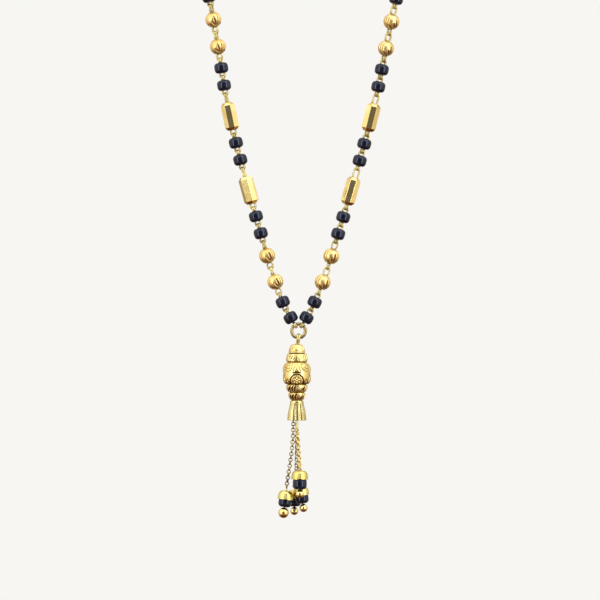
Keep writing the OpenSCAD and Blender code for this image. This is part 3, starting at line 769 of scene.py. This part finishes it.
def outline(points, count):
    """A smoothed outline of (radius, height) points, top first, with its corners kept rounded."""
    curve = smooth([(r, z, 0) for r, z in points], 6)
    return [tuple(q[:2]) for q in resample(curve, count)]


def bell(top_d, rim_d, h, form):
    """Points down the outside of a bell-shaped piece."""
    return [((top_d + share * (rim_d - top_d)) / 2, -q * h) for q, share in form]


def bell_inside(points, wall):
    """Points up the inside of a bell, between its rim and its top."""
    return [(r - wall, min(z, -wall)) for r, z in points[-2:0:-1]]


def from_front(angle, degrees):
    """The angle, in radians, to the right of a line that stands that many degrees from the front."""
    return (angle - math.radians(degrees - 90) + math.pi) % (2 * math.pi) - math.pi


def band(z, middle, half_width):
    """1 in the middle of a band, 0 outside it."""
    return np.clip(1 - ((z - middle) / half_width) ** 2, 0, 1)


def stroke(angle, z, r, turn, height, half_length, half_width, depth, slant=0.0, bend=0.0):
    """A lens-shaped cut. Slant leans its top to the right, bend curves its middle to the left."""
    x = from_front(angle, turn) * r
    up = z - height
    x = x - math.tan(math.radians(slant)) * up + bend * (1 - np.clip(up / half_length, -1, 1) ** 2)
    return depth * lens(up, x, half_length, half_width)


def round_groove(u, v, radius, half_width, depth):
    return depth * band(np.hypot(u, v), radius, half_width)


def knob(u, v, radius, height):
    """A raised round boss: a cut below zero."""
    return -height * np.sqrt(band(np.hypot(u, v), 0, radius))


def seam(z, edge):
    """A narrow step where two stacked pieces meet, deep enough that the gold's colour turns dark in it:
    painted shade.
    """
    return SEAM_DEPTH * band(z, edge, SEAM_HALF)


def deeper(cut, other):
    """A cut with another one added to it, which leaves raised parts alone."""
    return np.where(other > 0, np.maximum(cut, other), cut)


def carved(cut, strokes, turned, angle, z, r, middle=0):
    """A cut with a table of strokes added, turned round the piece by that many degrees."""
    for turn, height, *form in strokes:
        cut = deeper(cut, stroke(angle, z, r, turn + turned, height + middle, *form))
    return cut


# Strokes on the stacked pieces. Columns: angle to the right of the front, height from the crown's
# top or from the other pieces' middle, half length, half width, depth, slant, bend
CROWN_STROKES = [(14, -0.85, 0.42, 0.13, 0.085, 18, 0.08), (-3, -0.55, 0.2, 0.09, 0.075, 10)]
UPPER_STROKES = [
    (-44, 0.25, 0.44, 0.14, 0.16, 32, 0.02), (-29, 0.0, 0.42, 0.14, 0.16, 32, 0.02),
    (-15, -0.22, 0.34, 0.11, 0.14, 32, 0.0), (14, 0, 0.68, 0.15, 0.06, 10, 0.22),
    (30, 0.05, 0.6, 0.1, 0.05, 10, 0.2),
]
# Wide, deep strokes, which the gold's colour turns dark: painted shade on the middle and lower collars
MIDDLE_STROKES = [
    (-40, -0.05, 0.7, 0.25, 0.23, 12, 0.2), (-23, -0.05, 0.72, 0.25, 0.23, 14, 0.2),
    (-6, -0.05, 0.72, 0.22, 0.22, 16, 0.2), (31, -0.3, 0.4, 0.19, 0.18, 20, -0.1),
]
LOWER_STROKES = [
    (-48, -0.12, 0.55, 0.22, 0.2, 14, 0.16), (-27, -0.12, 0.64, 0.27, 0.23, 16, 0.16),
    (-4, -0.05, 0.68, 0.22, 0.21, 16, 0.16), (36, -0.25, 0.45, 0.19, 0.17, 10, -0.1),
]
# Short cuts beside the globe's points and medallions
PANEL_STROKES = [
    (side * turn, height, half_length, 0.12, 0.15, side * slant)
    for turn, height, half_length, slant in ((21, 2.1, 0.3, 0), (39, -1.75, 0.4, 16), (45, -1.4, 0.35, 0))
    for side in (-1, 1)
]


def crown_relief(angle, z, r):
    """A beaded rim, a groove above it and slanted strokes."""
    z = z + 0 * angle
    bead_r, groove_up, grain = 0.17, 0.4, np.abs(np.sin(angle * 13))
    cut = band(z, bead_r - CROWN_H, bead_r) * (0.06 * (1 - grain) ** 2 - 0.05 * grain)
    cut = np.maximum(cut, 0.1 * band(z, groove_up - CROWN_H, 0.07) * (0.45 + 0.55 * grain))
    for k in range(CROWN_REPEATS):
        for turn, height, *form in CROWN_STROKES:
            cut = cut + stroke(angle, z, r, turn + 360 / CROWN_REPEATS * k, height, *form)
    return cut + seam(z, -CROWN_H)


def flower(angle, z, r, turn, height, size):
    """A small raised rosette: a boss with five petals round it."""
    u, v = from_front(angle, turn) * r, z - height
    away, petal_r = size * 0.72, size * 0.34
    cut = knob(u, v, size * 0.38, 0.09)
    for k in range(5):
        a = math.radians(72 * k + 18)
        cut = np.minimum(cut, knob(u - away * math.cos(a), v - away * math.sin(a), petal_r, 0.07))
    return cut


def collar(d, h, form, strokes, flower_turn=0, flower_size=0):
    def relief(angle, z, r):
        cut = np.zeros(np.broadcast(angle, z).shape)
        for k in range(REPEATS):
            turned = 360 / REPEATS * k
            cut = carved(cut, strokes, turned, angle, z, r, -h / 2)
            if flower_size:
                boss = flower(angle, z, r, flower_turn + turned, -h / 2, flower_size)
                cut = np.where(boss < 0, boss, cut)
        # A faint unevenness all over
        cut = cut + 0.012 * np.cos(angle * 20) * np.cos(z * 7)
        return cut + seam(z, 0) + seam(z, -h)

    high_r, low_r = form[0][1] * d / 2, form[-1][1] * d / 2
    edge, hole = 0.03, STACK_HOLE_R
    outer = [(high_r - 3 * edge, 0), (high_r, -edge)]
    outer += [(share * d / 2, -q * h) for q, share in form[1:-1]]
    outer += [(low_r, edge - h), (low_r - 3 * edge, -h)]
    inner = [(low_r - LIP_INSET, -h - LIP), (hole, -h - LIP), (hole, -h / 2), (hole, LIP),
             (high_r - LIP_INSET, LIP)]
    return revolve(outline(outer, 40), 200, relief, inner)


def medallion(cut, x, z, facing):
    """A groove that widens downward. In it, a ring of beads round a rosette with six petals."""
    v = z + 0.35 * GLOBE_H
    away = np.hypot(x, v)
    field_r, bead_ring_r, thin = 1.2, 1.04, 0.14
    petal_away, petal_long, petal_wide = 0.52, 0.3, 0.17
    # Its lower part is wide and deep, so the gold's colour turns dark there: painted shade below the
    # medallion
    width = thin + 0.3 * ease(-v / 0.9)
    cut = deeper(cut, facing * round_groove(x, v, MEDALLION_R + 0.6 * (width - thin), width, 0.2))
    ground = GROUND * ease((field_r - away) / 0.12)
    for k in range(6):
        a = math.radians(60 * k + 30)
        px, pv = x - petal_away * math.cos(a), v - petal_away * math.sin(a)
        run = px * math.cos(a) + pv * math.sin(a)
        side = -px * math.sin(a) + pv * math.cos(a)
        petal = 1 - (run / petal_long) ** 2 - (side / petal_wide) ** 2
        ground = np.minimum(ground, GROUND - 0.13 * np.sqrt(np.clip(petal, 0, 1)))
    ground = np.minimum(ground, GROUND + knob(x, v, 0.17, 0.17))
    beads = band(away, bead_ring_r, 0.1) * np.abs(np.cos(np.arctan2(v, x) * 9)) ** 0.7
    ground = np.minimum(ground, GROUND - 0.1 * beads)
    return np.where(facing & (away < field_r), ground, cut)


def raised_point(cut, x, z, facing):
    """A point with bevelled sides and a pit in its middle, and a bar cut under it."""
    low, high, edge = 0.08 * GLOBE_H, 0.45 * GLOBE_H, 0.06
    pit_low, pit_high = 0.75, 1.35
    side = np.abs(x) - POINT_W / 2 * np.clip((high - z) / (high - low), 0, 1)
    point = facing & (z > low) & (z < high)
    cut = np.where(point & (np.abs(side) < edge), 0.1 * (1 - (side / edge) ** 2), cut)
    cut = np.where(point & (side < -edge), GROUND + 0.35 * np.clip(side, -0.3, 0), cut)
    pit = facing & (z > pit_low) & (z < pit_high) & (np.abs(x) < (pit_high - z) / 3)
    cut = np.where(pit, 0.09, cut)
    return deeper(cut, facing * 0.2 * lens(x, z - 0.16, 0.9, 0.19))


def oval(cut, x, z, facing):
    """A thin groove round a punched field with scrolls."""
    x, v = x * 0.86, (z - 0.27 * GLOBE_H) * 1.1
    cut = deeper(cut, facing * round_groove(x, v, SMALL_RING_R, 0.1, 0.1))
    punched = 0.5 + 0.5 * np.sin(x * 15) * np.sin(v * 15)
    scroll = round_groove(x - 0.2, v - 0.1, 0.42, 0.07, 0.07)
    scroll = scroll + round_groove(x + 0.45, v + 0.3, 0.3, 0.06, 0.06)
    return np.where(facing & (np.hypot(x, v) < 0.9), 0.03 + 0.04 * punched + scroll, cut)


def globe_relief(angle, z, r):
    """Medallions below, points above them and ovals between, all the way round. z is 0 at the equator."""
    cut = np.zeros(np.broadcast(angle, z).shape)
    for k in range(REPEATS):
        turned = 360 / REPEATS * k
        for draw, start in ((medallion, 0), (raised_point, 0), (oval, 180 / REPEATS)):
            turn = from_front(angle, turned + start)
            cut = draw(cut, np.sin(turn) * r, z, np.cos(turn) > PANEL_COS)
        cut = carved(cut, PANEL_STROKES, turned, angle, z, r)
    return cut


def globe():
    half, hole = GLOBE_H / 2, STACK_HOLE_R
    inside = half - SHELL

    def radius(z):
        return GLOBE_D / 2 * (1 - GLOBE_TAPER * (z / half) ** 4)

    def relief(angle, z, r):
        return globe_relief(angle, z, r) * ease((half - np.abs(z)) / 0.12) + seam(z, half) + seam(z, -half)

    end_r = radius(half)
    lip_r = end_r - LIP_INSET - 0.1
    top = [(end_r - 0.25, half), (end_r - 0.05, half - 0.005)]
    side = [(radius(z), z) for z in np.linspace(half - 0.03, 0.03 - half, 96)]
    low_end = [(lip_r, -half - LIP), (hole, -half - LIP), (hole, -inside)]
    wall = [(radius(z) - SHELL, z) for z in np.linspace(-inside, inside, 14)]
    return revolve(top + side + mirrored(top), 300, relief, low_end + wall + mirrored(low_end))


# How far the flutes' pattern is turned to the right, in degrees
SKIRT_TURN = 3


def skirt_relief(angle, z, r):
    flute_depth, crease_depth = 0.2, 0.04
    share = np.clip(-z / SKIRT_H, 0, 1)
    turn = from_front(angle, SKIRT_TURN)
    ripple = np.cos(turn * SKIRT_FLUTES)
    flute = np.clip((ripple - 0.4) / 0.45, 0, 1)
    # The flutes are deepest in the middle of the front and of the back, where their depth paints them dark:
    # painted shade.
    deep = 0.15 + 0.85 * ease((np.cos(2 * turn) - 0.2) / 0.4)
    cut = flute_depth * deep * flute * ease((share - 0.08) / 0.2)
    crease = np.clip((-ripple - 0.9) / 0.1, 0, 1)
    cut = cut + crease_depth * crease * ease((share - 0.35) / 0.2)
    return cut + seam(z, 0)


def skirt():
    points = bell(SKIRT_TOP_D, SKIRT_D, SKIRT_H, FLARE)
    top_r, rim_r, hole = points[0][0], points[-1][0], STACK_HOLE_R
    outer = outline([(top_r - 0.15, 0), (top_r, -0.06)] + points[1:], 46)
    inner = [(rim_r - 0.09, -SKIRT_H), (rim_r - SHELL + 0.05, -SKIRT_H + 0.05)] + bell_inside(points, SHELL)
    inner += [(top_r - SHELL, -SHELL), (hole, -SHELL), (hole, LIP), (top_r - LIP_INSET, LIP)]
    return revolve(outer, 224, skirt_relief, inner)


def crown():
    points = bell(CROWN_TOP_D, CROWN_D, CROWN_H, DOME)
    top_r, rim_r, hole = points[0][0], points[-1][0], STACK_HOLE_R
    outer = outline([(top_r - 0.25, 0), (top_r - 0.03, -0.02)] + points[1:], 44)
    inner = [(rim_r - LIP_INSET, -CROWN_H - LIP), (rim_r - SHELL, -CROWN_H + 0.02)]
    inner += bell_inside(points, SHELL) + [(hole, -SHELL), (hole, 0), (hole + 0.3, 0)]
    return revolve(outer, 208, crown_relief, inner)


def dress_stack():
    upper = collar(UPPER_COLLAR_D, UPPER_COLLAR_H, WIDENING, UPPER_STROKES)
    middle = collar(MIDDLE_COLLAR_D, MIDDLE_COLLAR_H, NARROWING, MIDDLE_STROKES, 15, 0.42)
    lower = collar(LOWER_COLLAR_D, LOWER_COLLAR_H, ROUNDED, LOWER_STROKES, 22, 0.36)
    shapes = [crown(), upper, moved(globe(), shift(0, 0, -GLOBE_H / 2)), middle, lower, skirt()]
    for (name, z), shape in zip(STACK_Z.items(), shapes):
        material = FLUTED if name == "skirt" else ENGRAVED
        piece(name, moved(shape, shift(-PENDANT_LEFT, 0, z)), material, "gold", "pendant")


# The tassel

LINK_PITCH, LINK_OUTER = 0.6, 0.98
# Half the thickness of a link and half its width
LINK_THIN, LINK_WIDE = 0.11, 0.18
# How far each chain's links are turned from the front, in the order of the drops
LINK_TURNS = [4, 62, 38, 20]


def flat_link(centre, side, up):
    """A round link of flat wire with rounded edges, in the plane of side and up."""
    round_it = round_turn(24)[:, None, None]
    section = round_turn(8)[None, :, None] + math.pi / 8
    r = LINK_OUTER / 2 - LINK_THIN + LINK_THIN * np.cos(section)
    rows = centre + r * (np.cos(round_it) * side + np.sin(round_it) * up)
    return grid(rows - LINK_WIDE * np.sin(section) * np.cross(side, up), wrap_rows=True)


def chain_links(k):
    """Round links on the line of a chain's solid, each turned a quarter from the one before."""
    across, back, cap_top = DROPS[k][1:4]
    start, bend = CHAIN_ROUTES[k][:3], CHAIN_ROUTES[k][3:]
    hung = start[2] > 0
    high = (start[0] - PENDANT_LEFT, start[1], HEM_Z - start[2] - (LOOP_WIRE_R + HOOK_GAP if hung else 0))
    low = (across, back, -cap_top + DROP_EYE_Z + DROP_EYE_R + DROP_WIRE_R + 1.2 * HOOK_GAP)
    path = smooth([high, (bend[0], bend[1], -bend[2]), low], 8)
    # The links reach a little farther: to the wire loop or into the skirt, and into the drop's eye
    if hung:
        path[0] = (-PENDANT_LEFT, path[0][1] * 0.7, LOOP_BOTTOM_Z + 0.12)
    else:
        path[0] += (0.16, 0.1, 0.5)
    path[-1] -= (0, 0, 0.24)
    count = max(2, round(route_marks(path)[-1] / LINK_PITCH))
    centres = resample(path, count)
    shapes = []
    for i, t in enumerate(directions(centres, closed=False)):
        x = unit(np.cross([0.02, 1, 0], t))
        y = np.cross(t, x)
        a = math.radians(LINK_TURNS[k] + 90 * (i + count) + rng.uniform(-7, 7))
        side = math.cos(a) * x + math.sin(a) * y
        shapes.append(flat_link(centres[i], side, t))
    return joined(shapes)


def cap_shape(bead_d):
    """A full cap of pointed petals with thin veins, open below."""
    rim_d = bead_d + 2 * (CAP_WALL + CAP_GAP)
    notch = 0.17

    def petal(angle):
        return np.abs(np.cos(angle * CAP_PETALS / 2))

    def relief(angle, z, r):
        down = np.clip(-z / CAP_H, 0, 1)
        between = band(petal(angle), 0, 0.3) * ease((down - 0.25) / 0.3)
        vein = band(np.sin(angle * CAP_PETALS * 2), 0, 0.5) * ease((down - 0.35) / 0.2)
        return 0.05 * between + 0.025 * vein + 0.02 * band(down, 0.86, 0.05)

    points = bell(CAP_TOP_D, rim_d, CAP_H, CAP_DOME)
    outer = outline([(CAP_TOP_D / 2 - 0.2, 0.0)] + points, 34)
    inner = [(rim_d / 2 - CAP_WALL + 0.02, -CAP_H + 0.02)] + bell_inside(points, CAP_WALL)
    inner += [(DROP_HOLE_R, -CAP_WALL), (DROP_HOLE_R, 0), (DROP_HOLE_R + 0.1, 0)]
    points, faces, depth = revolve(outer, 120, relief, inner)
    # The rim rises between the petals: the lower part of the cap is drawn up to it
    angle = np.arctan2(points[:, 1], points[:, 0])
    low = np.clip(-points[:, 2] / CAP_H, 0, 1)
    points[:, 2] += notch * (1 - petal(angle)) ** 1.2 * ease((low - 0.35) / 0.65)
    return points, faces, depth


def tip_shape(bead_l, cover, tip_d):
    """The soldered gold ball with a small collar, its pin and the eye above the cap."""
    bottom, r, neck = -cover - bead_l, tip_d / 2, DROP_WIRE_R * 1.7
    z = bottom - SEAM_GAP - r
    start = math.degrees(math.acos(neck / r))
    profile = [(DROP_WIRE_R, DROP_EYE_Z - DROP_EYE_R), (DROP_WIRE_R, bottom - 0.02)]
    profile += [(neck, z + r - 0.02)] + [(q[0], z + q[1]) for q in fillet((0, 0), r, start - 3, -88, 22)]
    ball = revolve(profile, 40, closed=False)
    angle = round_turn(28)
    ring = np.stack([0 * angle, DROP_EYE_R * np.cos(angle), DROP_EYE_Z + DROP_EYE_R * np.sin(angle)], axis=1)
    return joined([ball, sweep(ring, DROP_WIRE_R, 9, closed=True)])


def dress_tassel():
    for k, (name, across, back, cap_top, lean, bead_d, bead_l, cover, tip_d) in enumerate(DROPS):
        place = shift(across, back, -cap_top) @ turn_y(-lean)
        # The chains behind the front one get the darker copy: painted shade
        chain_gold = BRIGHT_CHAIN if name == "upper" else SHADED_CHAIN_GOLD
        piece(f"chain_{name}", chain_links(k), chain_gold, "gold", "pendant")
        piece(f"drop_cap_{name}", moved(cap_shape(bead_d), place), CAP_GOLD, "gold", "pendant")
        bead = glass_bead(bead_d - GLASS_GAP, bead_l - GLASS_GAP, DROP_HOLE_R, DROP_HOLE_R + 0.2, 0.2)
        bead = moved(bead, place @ shift(0, 0, -cover - bead_l / 2))
        piece(f"drop_bead_{name}", bead, GLASS, "black_glass", "pendant")
        tip = moved(tip_shape(bead_l, cover, tip_d), place)
        piece(f"drop_tip_{name}", tip, POLISHED, "gold_wire", "pendant")


dress_string()
dress_clasp()
dress_ring()
dress_core()
dress_stack()
dress_tassel()


# The studio

# In metres: the width of the view at the front V, the place of its middle and the camera's distance
VIEW_WIDTH = 0.1263
VIEW_X, VIEW_Z = 0.0003, -RING_DROP / 1000 + 0.0065
CAMERA_AWAY = 1.1
# How far the tent round the piece is turned to the right, in degrees
TENT_TURN = 4
FLOOR_Z, FLOOR_R = -0.2, 0.26
# The tent's colours by direction, from 0 to 1. First from straight down to straight up
TENT_HEIGHT = [
    (0.0, (0.12, 0.04, 0.025)), (0.14, (0.2, 0.09, 0.05)), (0.3, (0.82, 0.7, 0.56)),
    (0.5, (1.2, 1.17, 1.08)), (0.7, (1.35, 1.35, 1.3)), (1.0, (1.6, 1.6, 1.6)),
]
# Then from the camera's side to the backdrop's: the dark beside the camera, the bright sides of the
# tent, its darker rear edge and the backdrop
TENT_DEPTH = [
    (0.0, (0.14, 0.145, 0.165)), (0.045, (0.155, 0.16, 0.18)), (0.08, grey(0.75)), (0.16, grey(1.1)),
    (0.45, grey(1.0)), (0.62, grey(0.8)), (0.76, grey(0.4)), (0.87, grey(0.4)), (0.94, grey(0.9)),
    (1.0, grey(1.0)),
]


def studio_floor():
    """A round table far below the piece, with a rounded edge."""
    steps = 96
    angle = round_turn(steps)
    radii = [0.02, 0.1, 0.2, FLOOR_R - 0.004, FLOOR_R - 0.001, FLOOR_R]
    falls = [0, 0, 0, 0, 0.001, 0.004]
    rows = np.stack([np.stack([r * np.cos(angle), r * np.sin(angle), FLOOR_Z - d + 0 * angle], axis=1)
                     for r, d in zip(radii, falls)])
    points, faces, _ = grid(rows[::-1])
    faces.append(tuple((len(radii) - 1) * steps + k for k in range(steps)))
    mesh = bpy.data.meshes.new("studio_floor")
    mesh.from_pydata(points.tolist(), [], faces)
    material, tree, shader = new_material("studio_floor")
    colour = ramp(tree, noise(tree, 30, 2), [(0.3, (0.6, 0.592, 0.578)), (0.7, (0.63, 0.622, 0.607))])
    tree.links.new(colour, shader.inputs["Base Color"])
    shader.inputs["Roughness"].default_value = 0.7
    mesh.materials.append(material)
    obj = bpy.data.objects.new("studio_floor", mesh)
    obj.visible_glossy = False
    bpy.context.scene.collection.objects.link(obj)


def studio_world():
    """A pale backdrop. What the metal reflects is bright above and at the sides, dark below."""
    world = bpy.data.worlds.new("studio")
    bpy.context.scene.world = world
    world.use_nodes = True
    tree = world.node_tree
    links = tree.links
    coordinates = tree.nodes.new("ShaderNodeTexCoord")
    turned = node(tree, "ShaderNodeMapping", Rotation=(0, 0, math.radians(TENT_TURN)))
    direction = tree.nodes.new("ShaderNodeSeparateXYZ")
    links.new(coordinates.outputs["Generated"], turned.inputs["Vector"])
    links.new(turned.outputs["Vector"], direction.inputs[0])

    def spread(axis):
        half = node(tree, "ShaderNodeMath", operation="MULTIPLY_ADD")
        half.inputs[1].default_value = half.inputs[2].default_value = 0.5
        links.new(direction.outputs[axis], half.inputs[0])
        return half.outputs[0]

    around = node(tree, "ShaderNodeMix", data_type="RGBA", blend_type="MULTIPLY", Factor=1.0)
    links.new(ramp(tree, spread("Z"), TENT_HEIGHT), around.inputs["A"])
    links.new(ramp(tree, spread("Y"), TENT_DEPTH), around.inputs["B"])
    path = tree.nodes.new("ShaderNodeLightPath")
    backdrop = mixed(tree, path.outputs["Is Camera Ray"], around.outputs["Result"], (0.93, 0.921, 0.896))
    links.new(backdrop, tree.nodes["Background"].inputs["Color"])


def softbox(name, place, size, power, colour):
    """A rectangular lamp that faces the ring."""
    light = bpy.data.lights.new(name, "AREA")
    light.shape = "RECTANGLE"
    light.size, light.size_y = size
    light.energy = power
    light.color = colour
    obj = bpy.data.objects.new(name, light)
    obj.location = place
    obj.rotation_euler = (Vector(RING_CENTRE / 1000) - Vector(place)).to_track_quat("-Z", "Y").to_euler()
    bpy.context.scene.collection.objects.link(obj)


def studio_camera():
    data = bpy.data.cameras.new("camera")
    data.sensor_fit = "HORIZONTAL"
    data.angle = 2 * math.atan(VIEW_WIDTH / 2 / CAMERA_AWAY)
    data.clip_start, data.clip_end = 0.01, 20
    camera = bpy.data.objects.new("camera", data)
    camera.location = (VIEW_X, -FRONT_Y / 1000 - CAMERA_AWAY, VIEW_Z)
    camera.rotation_euler = (math.pi / 2, 0, 0)
    bpy.context.scene.collection.objects.link(camera)
    bpy.context.scene.camera = camera


studio_floor()
studio_world()
for word, x in (("left", -0.42), ("right", 0.42)):
    softbox(f"strip_{word}", (x, -0.5, -0.06), (0.1, 0.6), 1.0, (0.82, 0.9, 1.0))
softbox("key", (0.3, -0.35, 0.4), (0.3, 0.3), 0.8, (1.0, 0.98, 0.94))
studio_camera()
bpy.context.scene.view_settings.view_transform = "Standard"
